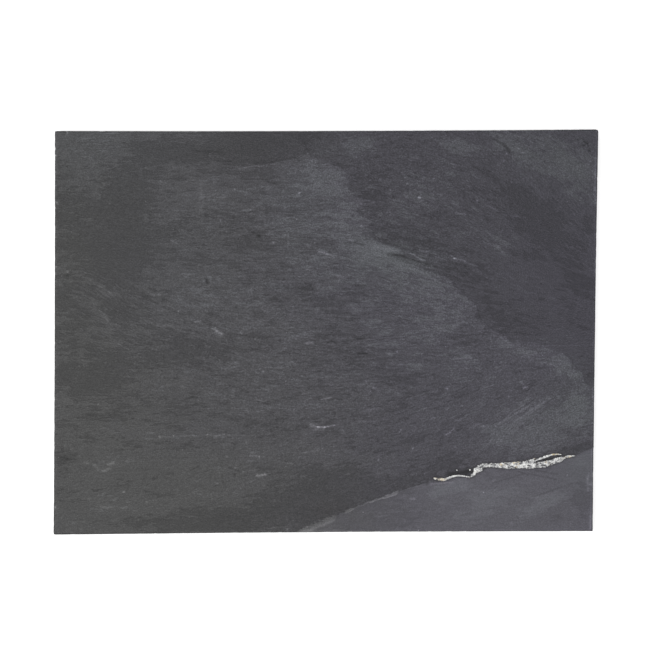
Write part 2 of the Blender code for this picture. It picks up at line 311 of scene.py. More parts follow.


# Strokes left in the face: x, y of each end, half width, tone (above 0 pale, below 0 dark) and
# how far it stands up, all in mm. The dark strokes are partly the slate's own streaks and partly
# painted shade: beside raised pale flakes, in dents and along the quartz crust
MARKS = [
    (-115, 68.5, -111, 66.2, 0.7, 0.5, 0), (-83.6, 2.4, -81, 1, 0.9, 1.1, 0.05),
    (-80, 0.2, -77.6, -1.4, 1.3, 1.4, 0.07), (-122, -32.6, -118, -32.4, 0.6, 0.5, 0.03),
    (-119.4, -34.2, -110.4, -34.6, 0.9, -0.6, -0.05), (-105, -50.2, -99, -48.2, 0.6, -0.8, -0.06),
    (-99, -48.2, -95.4, -48.6, 0.6, -0.8, -0.06), (-153.6, -8.8, -149.6, -11.6, 0.5, 0.8, 0.03),
    (-149.6, -11.6, -134.5, -17.7, 0.45, 0.5, 0.03), (-97.4, 7.4, -92.8, 8.4, 0.6, 1, 0),
    (-5, 59.7, 0.8, 58, 0.75, 1.8, 0.05), (1.4, 57.8, 5.8, 55.6, 0.5, 0.9, 0.03),
    (-0.6, 61.4, 4, 58.6, 0.5, -0.8, -0.04), (-14.6, 65.2, -8, 62.4, 0.6, 0.6, 0.04),
    (14, 66, 21.6, 66.4, 0.7, -0.9, -0.06), (21.6, 66.4, 27.4, 64.6, 0.6, -0.9, -0.06),
    (17.8, 68.6, 19.6, 67.6, 0.7, 1, 0.04), (8.6, 42, 14.2, 40.4, 0.9, 0.8, 0.03),
    (46.5, 57.8, 58, 56.4, 1.1, -0.9, -0.08), (36, 63.4, 55, 60.6, 1.5, 0.45, 0),
    (40, 68, 60, 61.8, 1.2, -0.45, 0), (57, 56.2, 66, 53.4, 0.6, -1, -0.08),
    (64, 54, 74, 50.4, 0.6, -1, -0.06), (74, 50.4, 92, 46, 0.6, -0.9, -0.06),
    (61.6, 58.6, 66, 57.2, 0.5, 1, 0.05), (66, 56.8, 69.6, 54.4, 0.45, 0.9, 0.05),
    (69.6, 54.2, 73.6, 53.2, 0.55, 1.3, 0.05), (69, 60.2, 76, 59.6, 0.7, 1, 0.05),
    (62, 59.6, 68, 58.6, 0.6, -0.7, 0), (78, 56.6, 86, 54.6, 0.4, 0.6, 0.03),
    (92.8, 57, 95.4, 54.4, 0.5, 1, 0.05), (95.4, 54.4, 103.6, 52.6, 0.65, 1.4, 0.05),
    (103.8, 51.6, 111.6, 49.2, 0.4, 0.7, 0.03), (84, 52.4, 92, 50, 0.5, -0.8, -0.05),
    (96, 50.8, 104, 48.6, 0.5, -0.7, -0.05), (88, 39.6, 94, 38, 0.5, 0.5, 0.03),
    (117.6, 66, 124.6, 63.8, 0.6, 0.5, 0.04), (139, 86.2, 141.6, 86, 0.5, 1, 0),
    (118, 94.8, 134, 86.4, 0.35, 1, 0.03), (51, 121.6, 56.6, 118.4, 0.5, 0.6, 0.03),
    (85, 127, 96, 124.6, 0.5, 0.5, 0.03), (96, 88.6, 103.6, 87.4, 0.6, 0.9, 0.04),
    (-98, 134.4, -77, 133.4, 1.2, -0.6, 0), (-80.4, 126.6, -70, 126.8, 0.6, -1, -0.04),
    (-52, 125, -39.6, 126, 0.8, -0.9, -0.05), (-39.6, 126, -23, 130, 0.6, -0.6, -0.04),
    (-69, 120, -60, 122.2, 0.8, 0.5, 0.04), (-60, 122.2, -44, 123.6, 0.7, 0.5, 0.04),
    (-44, 124, -27, 127.6, 0.6, 0.5, 0.04), (-43.6, 111.6, -36.4, 109.6, 0.6, -1, -0.04),
    (-45, 33.8, -10, 31.6, 1.6, -0.6, 0), (-33, 48.8, -25, 48, 1.1, -0.7, 0),
    (-41, 24.2, -35.6, 23.8, 1.1, -0.8, 0), (18, 35.4, 30, 34.4, 0.6, -0.9, -0.05),
    (-34.6, 37.6, -31, 37.4, 0.6, 0.8, 0), (-66, 9.6, -58, 6.4, 0.5, 0.5, 0.03),
    (-58, 6.4, -42, 8.8, 0.6, 0.5, 0.03), (-14.6, -8.4, -10, -8.2, 1, 1.1, 0),
    (-10, -8.8, -6, -10.6, 0.5, 0.7, 0), (0.6, -8.2, 4, -6.6, 0.5, -0.9, -0.04),
    (4, -6.6, 8, -8.2, 0.5, -0.9, -0.04), (0, -3, 5, -1.2, 0.5, -0.7, -0.04),
    (23.4, -5.2, 28.4, -4.6, 0.7, -1, -0.04), (23.4, -15.8, 30.4, -16, 0.7, -1.2, -0.06),
    (54, -24.2, 57, -24.4, 0.6, 0.8, 0), (89.6, -17, 99, -17.6, 0.5, -0.8, -0.04),
    (97, -19.8, 108, -19.4, 0.6, 0.7, 0.03), (-3.6, -50, 4, -48.6, 0.6, 1.8, 0.05),
    (-11, -69.2, -6.2, -70.4, 1.2, 1.3, 0.05), (-6, -70.4, -1, -70.7, 0.8, 1.9, 0.06),
    (-1, -70.6, 6.4, -69.2, 0.65, 1.7, 0.05), (-9, -72.4, -5, -71.8, 0.9, 0.6, 0),
    (-21, -69.4, -12.4, -69.8, 0.6, -0.7, -0.04), (-51.6, -50, -46, -51.4, 0.5, 1.1, 0.04),
    (-50, -51.6, -43, -53, 0.5, -0.8, -0.04), (-17.6, -46.2, -12.6, -45, 0.5, 0.7, 0),
    (-76, -49.4, -71, -50.2, 0.5, 0.7, 0), (-124, -78.1, -88, -76.2, 0.5, 0.55, 0.04),
    (-88, -76.2, -81, -77.2, 0.6, 0.9, 0.04), (-81, -77.2, -75.6, -75.6, 0.6, 0.9, 0.04),
    (-75.6, -76.2, -48, -77, 0.5, 0.45, 0.04), (-20, -90.2, -9, -88.6, 0.6, 0.6, 0.03),
    (-9, -88.6, -2, -86.2, 0.5, 0.6, 0.03), (-51.4, -106.4, -45, -105.8, 0.9, 2, 0),
    (-28.8, -97.2, -24.6, -97.7, 0.6, 0.9, 0), (-56.6, -92, -51.6, -91.6, 0.6, 0.9, 0),
    (-18.2, -107, -14.6, -106.6, 0.7, 0.9, 0), (-81.6, -112.2, -77.6, -112.4, 0.7, 1, 0),
    (-72, -100.2, -64, -103.4, 0.6, -0.8, -0.04), (-62, -103.8, -51, -102.2, 0.5, 0.6, 0),
    (-60, -112, -43, -106, 0.5, 0.4, 0), (24, -66.2, 40, -66.6, 0.6, 0.7, 0.03),
    (28, -58.4, 41, -56.4, 0.7, 0.5, 0.03), (42, -77, 54, -74.6, 0.5, 0.5, 0.03),
    (88.8, -76.2, 92, -74.6, 0.5, 1, 0.04), (92, -74.6, 95.2, -71.2, 0.5, 1.1, 0.04),
    (96.4, -66.2, 101, -64.4, 0.6, 0.9, 0.04), (77.6, -64.6, 81.4, -63.4, 0.6, 0.8, 0),
    (108, -71, 114, -67.6, 0.7, 0.6, 0), (127, -68.6, 149, -54.8, 0.7, 0.45, 0.03),
    (140, -66.4, 158, -54.2, 0.6, 0.45, 0.03), (147, -68, 168, -54.4, 0.6, -0.4, -0.03),
    (150, -61.6, 166, -48.8, 0.6, 0.4, 0.03), (142, -58.4, 156, -49, 0.5, -0.4, -0.03),
    (130, -4, 136, -8.6, 0.6, 0.5, 0.04), (134, -9.6, 142.6, -10, 0.9, 0.5, 0.04),
    (146.6, -41.8, 149.6, -40.6, 0.6, 1.5, 0), (-168, 34.4, -159.4, 28.8, 0.6, 0.8, 0.04),
    (-168, 17, -162, 8.6, 0.9, 0.5, 0.04), (-162, 8.6, -154.4, 3.2, 0.9, 0.55, 0.04),
    (-136, 26.6, -120, 25.2, 0.6, -0.7, -0.04), (-120, 25.2, -113, 20.6, 0.6, -0.7, -0.04),
    (-130, 28, -123, 27.6, 0.6, 0.7, 0.03), (-133, 8, -125, 4.4, 0.6, 0.5, 0.03),
    (-125, 4.4, -115, 4.6, 0.6, 0.6, 0.03), (-92.6, 112, -93.3, 88, 1.7, 0.35, 0),
    (-86.6, 101, -86.9, 89, 0.6, 0.4, 0), (-30.4, 72, -28.9, 74.2, 0.5, 0.7, 0),
    (-28, 73.2, -28.3, 61.8, 0.5, 0.8, 0), (-88.4, 38.6, -88, 37.4, 1.1, -2, -0.35),
    (125, 143.2, 131.6, 139.4, 0.6, -1.2, -0.2), (133, 138.4, 136.2, 134, 1.2, -1.2, -0.3),
    (190.8, 138.6, 192.4, 139, 0.7, -1.7, -0.4), (191.4, 141.2, 194.2, 140, 0.6, -1.5, -0.3),
    (194.4, 139.2, 194.8, 138.4, 0.5, -1.2, -0.3), (195.4, 135.2, 196, 134.2, 0.7, -1.7, -0.4),
    (187, 142.8, 187.8, 142.4, 0.5, -1, -0.1), (162.1, -10.3, 199, -9.7, 0.3, 0.7, 0),
    (-102.6, 113.4, -98, 113, 0.6, 0.5, 0), (-112, 113.2, -104, 113, 0.8, -0.7, 0),
    (-179.4, -96.6, -176.4, -97.4, 1.1, 0.9, 0), (-172, -99, -168.6, -101.6, 1, 0.8, 0),
    (-166, -103, -160.6, -101.4, 1.1, 0.8, 0), (-161.6, -98.4, -157.4, -97, 1.1, 0.9, 0),
    (-195.6, -93.6, -187, -93.8, 1.3, -0.8, -0.04), (-167, -129.6, -159.6, -129.4, 0.8, 0.5, 0),
    (-156, -87.2, -143, -87.4, 0.6, -0.5, -0.03), (-184, -61.2, -159, -61.4, 0.6, -0.35, -0.03),
    (154.5, -122.1, 168, -117.4, 0.5, -0.5, 0), (168, -117.4, 183, -112.4, 0.5, -0.4, 0),
    # The dark strokes of this row and the next three are painted shade in the slot between the two
    # quartz branches and beside the tail, and painted shadow just below the crust
    (91, -105.4, 108, -103.6, 1.2, -1.4, -0.2), (162, -95.2, 175, -92.4, 0.5, -1.4, -0.2),
    (118, -103, 124, -112, 0.5, -0.3, 0), (124, -112, 146, -105.6, 0.5, -0.5, 0),
    (143, -103.4, 150, -106.2, 0.5, -0.7, 0), (155.6, -102.6, 172, -105.6, 0.5, -0.5, 0),
    (150, -105, 171, -109.4, 0.5, -0.5, 0), (78, -112.8, 94, -111.6, 0.7, 0.8, 0),
    (63, -124, 66, -123.8, 0.7, 0.9, 0), (195.2, -104.8, 194, -109, 0.8, 0.6, 0),
    (194, -109, 194.6, -117.6, 0.9, 0.65, 0), (196, -137, 196.2, -146.4, 1, 0.5, 0),
    (199.6, 129, 199.2, 98, 0.8, 0.6, 0),
]
# Small pale flecks, and dark spots that are the painted shade of small pits: x, y, half width and tone
DOTS = [
    (33, 112.8, 0.66, 1.7), (40, 113.4, 0.66, 1.9), (58.8, 114.6, 0.57, 1.8), (60, 109.8, 0.57, 2),
    (80, 114, 0.66, 2), (47.8, 105.2, 0.66, 1.7), (60.5, 101, 0.74, 1.3), (68.8, 99.8, 0.74, 1.8),
    (70, 99.8, 0.66, 1.7), (26, 95.6, 0.82, 1), (34.8, 96, 0.98, 1.1), (45.5, 88.6, 0.66, 1.7),
    (47.6, 87.2, 0.66, 2), (26, 78.6, 0.74, 1.7), (112.2, 97.4, 0.74, 2), (124, 119, 0.57, 1.4),
    (132, 127, 0.66, 1.7), (129, 124.6, 0.57, 1.3), (136, 129, 0.57, 1.4), (134, 132.4, 0.66, 1.7),
    (143, 136, 0.74, 1.3), (146, 133, 0.57, 1.1), (128, 63, 0.74, 1.3), (130.5, 59, 0.74, 1.4),
    (131, 76, 0.57, 1.3), (154, 121, 0.5, 1.3), (107, 86.8, 0.5, 1.3), (-19.8, 103, 0.74, 2),
    (-67.8, 106, 0.74, 1.3), (-56, 91, 0.57, 1.1), (-39, 66.2, 0.82, 2), (-8.2, 66, 0.74, 1.3),
    (-94.2, 124.4, 0.57, 1.1), (-86, 130.6, 0.57, 1.1), (-49.8, 71.2, 1.2, -1.8),
    (-54, 73.6, 0.9, -1.4), (-69, 84.6, 0.9, -1.1), (6, -0.3, 0.57, 1.5), (-52.4, -5, 0.57, 2),
    (-22.2, -5.2, 0.5, 1.4), (-191.6, 44.6, 0.74, 1.7), (-191.6, 42, 1, -1), (-200.2, 48.4, 0.74, 2),
    (-127.4, 26.6, 0.66, 1.8), (-109.4, 15.4, 0.66, 1.7), (-121.4, 15.8, 0.57, 1.3),
    (-108, 38.8, 0.57, 1.1), (-46.6, -29.1, 0.66, 2), (-57.6, -39, 0.57, 1.1),
    (-15.8, -52.4, 0.66, 1.3), (3.4, -60.6, 0.74, 1.3), (-59.4, -82.2, 0.74, 1.1),
    (-49.4, -92.4, 0.74, 2), (-73.6, -92.4, 0.57, 1.3), (52.8, -14.8, 0.74, 2), (46.4, -16.2, 0.74, 1),
    (90, -42.2, 0.74, 2), (92.8, -39, 0.57, 1.1), (35, -41.4, 0.82, 1.4), (30, -37, 0.98, 1),
    (64.4, -86.2, 0.74, 1.9), (38.8, -94.6, 0.74, 2), (55.4, -72.4, 0.74, 2), (54.6, -74.4, 0.66, 1.4),
    (5.8, -85.2, 0.66, 1.3), (84, -6.8, 0.66, 1.3), (135.4, -48, 0.66, 1.7), (116.6, -70, 0.74, 1.9),
    (145.6, -38, 0.66, 1.5), (125.6, -70, 0.57, 1.3), (-200.6, 131, 0.74, 1.8), (-199.6, 96, 0.98, 2),
    (-200.8, 119, 0.66, 1.7), (-200.8, 108, 0.74, 2), (-200.6, 70.6, 0.74, 1.8),
    (-192, 147.8, 0.74, 1.7), (-122.8, 111.8, 0.57, 1.4), (-160.6, 95, 0.57, 1.1),
    (-94.8, -50.8, 0.5, 1.1), (-123.4, -77.8, 0.7, 1.1), (-169, -53.4, 0.57, 1.3),
    (-142, -24, 0.5, 1.1), (-200.9, -130, 0.82, 2), (-149.8, -118.6, 0.82, 1.4),
    (-133, -126, 0.74, 1.1), (-109.6, -135, 0.66, 1.4), (-67.4, -101, 0.82, 1.7),
    (-28.6, -146.4, 0.82, 1.8), (73.4, -105.4, 0.57, 1.5), (137.8, -141.4, 0.57, 1.1),
    (123.8, -111, 0.82, 0.7), (198, -48, 0.74, 1.7), (196, -113, 0.9, 1),
]
MARK_JITTER = 0.45
COOL_AREAS = [
    (-170, 145, 80, 50, 0.4), (-110, 60, 60, 80, 0.22), (180, 125, 60, 60, 0.25),
    (52, 55, 44, 18, 0.4), (190, -50, 24, 30, 0.4), (-20, 90, 30, 50, 0.25),
    (190, -102, 18, 18, 0.5),
]
WARM_AREAS = [(4, -131, 13, 6, 0.2)]
GREYER_AREAS = [(150, -130, 90, 36, 0.25), (175, -75, 50, 30, 0.18)]
# How purple the slate is: X, then the share behind the front strip and in it
HUES = [
    (-200, 0, 0), (-165, 0.12, 0), (-120, 0.26, 0.04), (-75, 0.34, 0.2), (-40, 0.47, 0.32),
    (-10, 0.6, 0.5), (20, 0.74, 0.7), (60, 0.79, 0.78), (130, 0.85, 0.82), (160, 0.95, 0.9),
    (200, 1, 0.95),
]

# Paler and darker patches of the face: x, y, half length, half width, heading and tone
PATCHES = [
    (-165, 60, 75, 110, 0, -0.45), (-110, 110, 60, 60, 0, -0.2), (-100, 31, 34, 18, 0, 0.3),
    (-119, -40, 20, 8, 0, 0.45), (-37, -14, 22, 9, 0, 0.3), (70, 2, 28, 7, 0, 0.35),
    (180, -27, 22, 7, -42, 0.3), (187, -58, 14, 18, 0, 0.45), (136, -69, 38, 12, 24, 0.35),
    (-169, -100, 14, 6, 0, 0.55), (-171, -131, 28, 9, 4, 0.3), (-170, 138, 30, 14, 0, 0.7),
    (26, 140, 11, 6, 0, 0.9), (105, 138, 16, 7, -10, 0.4), (138, 136, 20, 6, -45, 0.8),
    (132, 61, 10, 12, 0, 0.25), (-74, 116, 25, 7, 0, 0.2), (-166, 11, 16, 4, -48, 0.4),
    (-166, 31, 12, 2.5, -40, 0.4), (-48, 23, 30, 7, 0, 0.2), (-87, 7, 35, 6, -6, 0.25),
    (31, -39, 8, 6, 0, 0.4), (-62, 139, 44, 11, 3, -0.85), (-148, 96, 18, 26, 0, -0.5),
    (-153, 60, 22, 12, 0, -0.4), (39, 102, 18, 20, -40, -0.3), (67, 67, 20, 9, -25, -0.4),
    (104, 41, 26, 8, -25, -0.4), (136, 7, 22, 14, -10, -0.4), (162, 75, 26, 30, 0, -0.5),
    (142, 102, 34, 11, -50, -0.55), (188, 36, 12, 30, 0, -0.4), (196, -35, 6, 12, 0, -0.6),
    (25, -17, 16, 7, 0, -0.5), (-26, 41, 30, 5, -2, -0.4), (25, 31, 16, 4, 0, -0.6),
    (-166, -30, 24, 10, 0, -0.5), (-100, -14, 22, 10, -20, -0.5), (-100, -53, 26, 6, -4, -0.5),
    (31, -45, 22, 8, 6, -0.3), (31, -124, 42, 9, 20, -0.9), (-5, -118, 34, 14, 14, -0.9),
    (-74, -140, 26, 8, 4, -0.6), (96, -96, 30, 7, 12, -0.7), (83, -77, 30, 9, 10, -0.5),
    (183, -88, 16, 3.5, 20, -1.2), (-8, 21, 18, 5, -4, -0.3), (-110, 138, 22, 10, 0, -0.5),
    # The patches at (101, -104.2) and (162, -94.9), tone -3, are painted shade beside the quartz tail
    # and in the slot between its two branches
    (-47, 118, 20, 16, 0, -0.6), (101, -104.2, 9, 1.6, 12, -3), (45, -142, 34, 9, 10, -0.6),
    (122, -122, 30, 9, 8, 0.5), (130, -68, 26, 14, 20, 0.3), (168, -70, 22, 12, 20, 0.5),
    (162, -94.9, 6, 0.9, 12, -3), (170, 129, 32, 14, -24, 0.9), (8, 138, 32, 10, 0, 0.5),
    (60, 100, 16, 22, -30, 0.6), (28, 40, 52, 17, -6, 0.45), (-90, 103, 20, 26, 0, 0.3),
    (-172, -42, 30, 12, 0, -0.5), (-64, -42, 32, 12, 0, 0.45), (150, -80, 36, 10, 20, 0.6),
    (90, -115.5, 17, 5, 14, 0.5), (110, -137, 26, 8, 8, 0.5), (-38, -136, 56, 11, 5, -0.75),
    (-12, -114, 24, 10, 8, -0.4), (-150, 20, 12, 30, 0, -0.2), (82, -121, 6, 6, 0, 0.5),
    (168, -125, 18, 5, 22, 0.6), (-100, 140, 40, 8, 0, 0.4), (40, 62, 30, 14, -10, 0.5),
    (-172, 105, 20, 14, 0, 0.4), (-110, 40, 22, 14, 0, 0.3), (-6, 82, 14, 8, 0, -0.5),
    (-6, -60, 30, 8, 0, -0.3), (-110, -143, 40, 8, 0, -0.5), (60, -38, 16, 10, 0, -0.4),
    (97, 138, 14, 4, -14, 0.5), (145, 137, 9, 4, -30, 0.4), (130, 64, 6, 9, 0, 0.5),
    (92, 107, 8, 3, -40, 0.4), (-155, -92, 14, 6, 0, 0.3), (-14, 52, 14, 12, 0, 0.3),
    (94, 118, 10, 7, -40, 0.25), (179, -73, 8, 3.5, 0, -0.6), (146, -70, 3, 2.5, 0, -0.6),
    (104, -34, 9, 4, 0, 0.4), (139, -33, 5, 4, 0, 0.35), (10, 124, 10, 2, -4, -0.5),
    (0, 130.5, 13, 1.8, -4, -0.4), (-128, 88, 10, 8, 0, 0.35), (-120, 103, 12, 6, 0, 0.3),
    (-150, 108, 5, 4, 0, -0.4), (-139, 139, 7, 8, 0, -0.4), (35, 58, 15, 4, -6, 0.4),
    (187, -53, 9, 9, 0, 0.6), (153, -133, 14, 7, 38, 0.35), (172, -136, 10, 6, 40, -0.3),
    (-118, 121, 14, 10, 0, 0.2), (189, 105, 9, 18, 6, 0.5), (124, 12, 12, 6, -20, -0.2),
    (-48, -8, 16, 8, 0, -0.25), (8, 5, 20, 8, 0, -0.3), (100, -112, 14, 5, 14, 0.3),
    (-108, -18, 14, 8, -10, -0.4), (4, -129, 14, 5, 22, -0.55), (190, -124, 7, 18, 0, -0.6),
    (192, 77, 9, 11, 0, -0.4), (189, -97, 10, 7, 20, 0.4),
]
# The ones of the thin sheet, which stop at its edge
WEDGE_PATCHES = [
    (-24, 114, 45, 14, 4, 0.35), (-1, 83, 34, 14, 0, 0.5), (36, 61, 24, 5.5, -8, 1),
    (78, 41, 26, 8, -22, 0.8), (104, 18, 16, 6, -15, 0.5), (8, 106, 15, 12, -40, 0.55),
    (140, -12, 22, 7, -15, 0.5), (185, -32, 20, 7, -38, 0.3),
]
PATCH_WARP = 9.0

# Bends of the grain: x, y, reach along X and Y in mm, and the slope that they add
BENDS = [
    (196, 98, 71, 45, -1), (58, 46, 45, 26, -0.15), (-82, -4, 22, 19, -0.2), (96, -62, 34, 19, 0.35),
    (155, -57, 26, 16, 0.5), (3, -110, 186, 30, 0.17), (-131, 24, 45, 45, -0.1),
    (-158, 20, 14, 16, -0.6),
]


def tone_at(points, patches):
    """How pale or dark the face is at each point, from the patches."""
    warp_x = lumps(points, 12, 4, 2.1, octaves=3)
    warp_y = lumps(points, 12, 5, 7.9, octaves=3)
    total = np.zeros(len(points))
    for x, y, half_length, half_width, heading, tone in patches:
        turn = math.radians(heading)
        warp = min(PATCH_WARP, 0.6 * half_width)
        dx = points[:, 0] + warp * warp_x - x
        dy = points[:, 1] + warp * 0.6 * warp_y - y
        u = (dx * math.cos(turn) + dy * math.sin(turn)) / half_length
        v = (dy * math.cos(turn) - dx * math.sin(turn)) / half_width
        total += tone * np.exp(-(u * u + v * v))
    return total


def back_film_tone(points):
    """Tone of the darker film along the back, which ends at a frayed edge."""
    past = beyond(points, BACK_FILM_EDGE, BACK_FILM_SIDE) + 2.0 * lumps(points, 6, 1.5, 11.1)
    reach = np.exp(-((points[:, 0] - BACK_FILM_MIDDLE) / BACK_FILM_REACH) ** 4)
    return BACK_FILM_TONE * reach * smooth(past, -0.6, 0.6)


def grain_slope_at(points):
    total = np.zeros(len(points))
    for x, y, reach_x, reach_y, slope in BENDS:
        u = (points[:, 0] - x) / reach_x
        v = (points[:, 1] - y) / reach_y
        total += slope * np.exp(-(u * u + v * v) / 2)
    return total


def marks_at(points):
    """Tone and height that the marks give each point."""
    jitter = MARK_JITTER * lumps(points, 2.2, 1.1, 5.5)
    tone = np.zeros(len(points))
    height = np.zeros(len(points))
    for x1, y1, x2, y2, half_width, mark_tone, mark_height in MARKS:
        away = line_distance(points, [(x1, y1), (x2, y2)]) / half_width
        cover = np.exp(-np.maximum(away + jitter, 0) ** 2)
        tone += mark_tone * cover
        height += mark_height * cover
    for x, y, half_width, dot_tone in DOTS:
        away = np.hypot(points[:, 0] - x, points[:, 1] - y) / half_width
        tone += dot_tone * np.exp(-np.maximum(away + jitter, 0) ** 2)
    return tone, height


def near_features(points):
    """How far each point is from the nearest split edge or mark."""
    marks = [line_distance(points, [(x1, y1), (x2, y2)]) for x1, y1, x2, y2, *_ in MARKS]
    marks += [np.hypot(points[:, 0] - x, points[:, 1] - y) for x, y, *_ in DOTS]
    thin = line_distance(points, THIN_EDGE)
    deep = line_distance(points, DEEP_EDGE)
    film = line_distance(points, BACK_FILM_EDGE)
    return np.minimum(np.minimum(thin, film) - 2.5, deep - 1.5), np.min(marks, axis=0)


def refine(bm, edge_reach, mark_reach):
    """Halves the faces of a flat mesh that lie this near a split edge or a mark."""
    middles = np.array([face.calc_center_median()[:2] for face in bm.faces]) / MM
    edge_distance, mark_distance = near_features(middles)
    picked = (edge_distance < edge_reach) | (mark_distance < mark_reach)
    edges = dict.fromkeys(
        edge for face, pick in zip(bm.faces, picked) if pick for edge in face.edges
    )
    bmesh.ops.subdivide_edges(
        bm, edges=list(edges), cuts=1, use_grid_fill=True, use_single_edge=True
    )


def side_ring(bm, edges):
    """Extrudes a ring of side faces from these edges and returns its new vertices and edges."""
    made = bmesh.ops.extrude_edge_only(bm, edges=edges)["geom"]
    verts = [item for item in made if isinstance(item, bmesh.types.BMVert)]
    old = {vert for edge in edges for vert in edge.verts}
    ring = [
        item for item in made
        if isinstance(item, bmesh.types.BMEdge) and not any(vert in old for vert in item.verts)
    ]
    return verts, ring


def stone_mesh():
    """The stone's mesh in plan, with its sides and underside, before the face gets its relief."""
    face_u = 1 - ARRIS / HALF_LENGTH
    face_v = 1 - ARRIS / HALF_WIDTH
    bm = bmesh.new()
    bmesh.ops.create_grid(
        bm,
        x_segments=round(2 * HALF_LENGTH / CELL),
        y_segments=round(2 * HALF_WIDTH / CELL),
        size=1,
    )
    for vert in bm.verts:
        vert.co = outline_point(vert.co.x * face_u, vert.co.y * face_v)
    refine(bm, 3.6, 2.3)
    refine(bm, -0.3, 1.3)
    part = bm.verts.layers.int.new("part")  # 0 the face, 1 and up the side rows, -1 the underside
    rim = [edge for edge in bm.edges if edge.is_boundary]
    shoulder, edges = side_ring(bm, rim)
    bmesh.ops.scale(bm, vec=(1 / face_u, 1 / face_v, 1), verts=shoulder)
    rows = [shoulder]
    for _ in range(SIDE_ROWS):
        verts, edges = side_ring(bm, edges)
        rows.append(verts)
    heel, edges = side_ring(bm, edges)
    bmesh.ops.scale(bm, vec=(face_u, face_v, 1), verts=heel)
    rows.append(heel)
    for number, verts in enumerate(rows, start=1):
        for vert in verts:
            vert[part] = number

    under = bmesh.ops.create_grid(
        bm,
        x_segments=round(2 * HALF_LENGTH / UNDERSIDE_CELL),
        y_segments=round(2 * HALF_WIDTH / UNDERSIDE_CELL),
        size=1,
    )["verts"]
    for vert in under:
        vert.co = outline_point(
            vert.co.x * (1 - UNDERSIDE_MARGIN / HALF_LENGTH),
            vert.co.y * (1 - UNDERSIDE_MARGIN / HALF_WIDTH),
        )
        vert[part] = -1
    under_rim = dict.fromkeys(
        edge for vert in under for edge in vert.link_edges if edge.is_boundary
    )
    bmesh.ops.bridge_loops(bm, edges=edges + list(under_rim))
    bmesh.ops.recalc_face_normals(bm, faces=bm.faces[:])
    return bm


def split_edges(points):
    """Frayed distance past the thin edge in mm, and past the deep one in widths of its riser."""
    thin = beyond(points, THIN_EDGE, THIN_SIDE) + 1.6 * lumps(points, 7, 1.5, 3.3, heading=-6)
    deep = beyond(points, DEEP_EDGE, DEEP_SIDE) + 0.6 * lumps(points, 4, 2.0, 6.1, heading=20)
    return thin, deep / np.interp(points[:, 0], *zip(*RISER_WIDTHS))


def sheet_depth(points, thin, deep):
    """How deep the face lies under the unsplit cleavage face."""
    feather = smooth(points[:, 0], FEATHER_FROM_X, FEATHER_TO_X)
    full = FEATHERED_SHEET + (DEEP_SHEET - FEATHERED_SHEET) * feather
    return np.maximum(THIN_SHEET * smooth(thin, -0.5, 0.5), full * smooth(deep, 0, 1))


def shape_stone(mesh):
    """Gives the stone its heights, and the attributes that its material reads."""
    place = vertex_places(mesh)
    part = vertex_numbers(mesh, "part")
    plan = place[:, :2] / MM
    thin, deep = split_edges(plan)
    tone, dent = marks_at(plan)
    broad = np.array([relief(x, y) for x, y in place[:, :2]])
    ripples = lumps(plan, 13, 3.2, 8.8) * (1 - 0.5 * smooth(deep, 0, 1))
    level = THICKNESS + broad - sheet_depth(plan, thin, deep)
    level += (FINE_RIPPLE * ripples + dent) * MM

    crumble = CRUMBLE * np.maximum(lumps(plan, 5, 5, 1.9, octaves=3) - 0.2, 0)
    place[:, 2] = stone_heights(plan, part, level, crumble)
    inwards = side_inset(plan, place[:, 2], part, crumble)
    place[:, :2] -= outward_at(plan) * inwards[:, None] * MM
    round_corners(place, part)
    move_vertices(mesh, place)

    outer, inner = rim_shade_and_tones(plan)
    set_attributes(
        mesh,
        tone=tone_at(plan, PATCHES) + back_film_tone(plan),
        wedge=tone_at(plan, WEDGE_PATCHES),
        riser_tone=np.interp(plan[:, 0], *zip(*RISER_TONES)),
        mark=tone,
        hue=hue_at(plan),
        film=film_strength(plan, deep),
        grit=grit_at(plan),
        cool=area_cover(plan, COOL_AREAS),
        warm=area_cover(plan, WARM_AREAS) * smooth(-deep, -0.4, 0),
        # painted shade on the slate in a narrow band around the quartz crust
        vein_halo=smooth(vein_cover(plan)[0], -1.5, -0.2),
        thin_edge=thin,
        deep_edge=deep,
        grain_heading=np.arctan(grain_slope_at(plan)),
        side=np.where(part > 1, 1.0, 0.0),
        rim=edge_distance(plan),
        # painted shade along the arris, and pale chips on the left side
        outer_rim=np.where(part > 1, 0.0, outer),
        inner_rim=np.where(part > 0, 0.0, inner),
    )


def stone_heights(plan, part, level, crumble):
    """Height of each vertex of the face, the sides, the heel and the underside, in metres."""
    rim_dip = np.clip(1 - edge_distance(plan) / RIM_WIDTH, 0, 1)
    top = level - crumble * MM * rim_dip
    shoulder = top - ARRIS
    foot = ARRIS * 0.8
    down = np.clip((part - 1) / SIDE_ROWS, 0, 1)
    z = np.where(part > 0, shoulder + (foot - shoulder) * down, top)
    z = np.where(part == SIDE_ROWS + 2, 0.0, z)
    return np.where(part == -1, underside_scars(plan) * MM, z)


def side_inset(plan, z, part, crumble):
    """How far the laminations and the chips of the arris set the sides back, in mm."""
    layers = np.array([
        noise.noise((x / 40, y / 40, height / 0.55)) + 0.6 * noise.noise((x / 6, y / 6, height / 0.9))
        for (x, y), height in zip(plan, z / MM)
    ])
    chips = np.where(part == 1, crumble * 1.2, 0)
    on_side = (part > 0) & (part <= SIDE_ROWS + 1)
    return np.where(on_side, LAMINATION * (0.5 + 0.5 * layers) + chips, 0)


def round_corners(place, part):
    """Pulls what lies past each rounded corner in to its arc."""
    for corner, radius in CORNER_RADII:
        inward = -np.sign(corner.xy)
        bend = place[:, :2] - (np.array(corner.xy) + radius * MM * inward)
        past = (bend * inward < 0).all(axis=1) & (part >= 0)
        length = np.maximum(np.linalg.norm(bend, axis=1), 1e-9)
        pull = np.clip(radius * MM / length, 0, 1) - 1
        place[past, :2] += (bend * pull[:, None])[past]


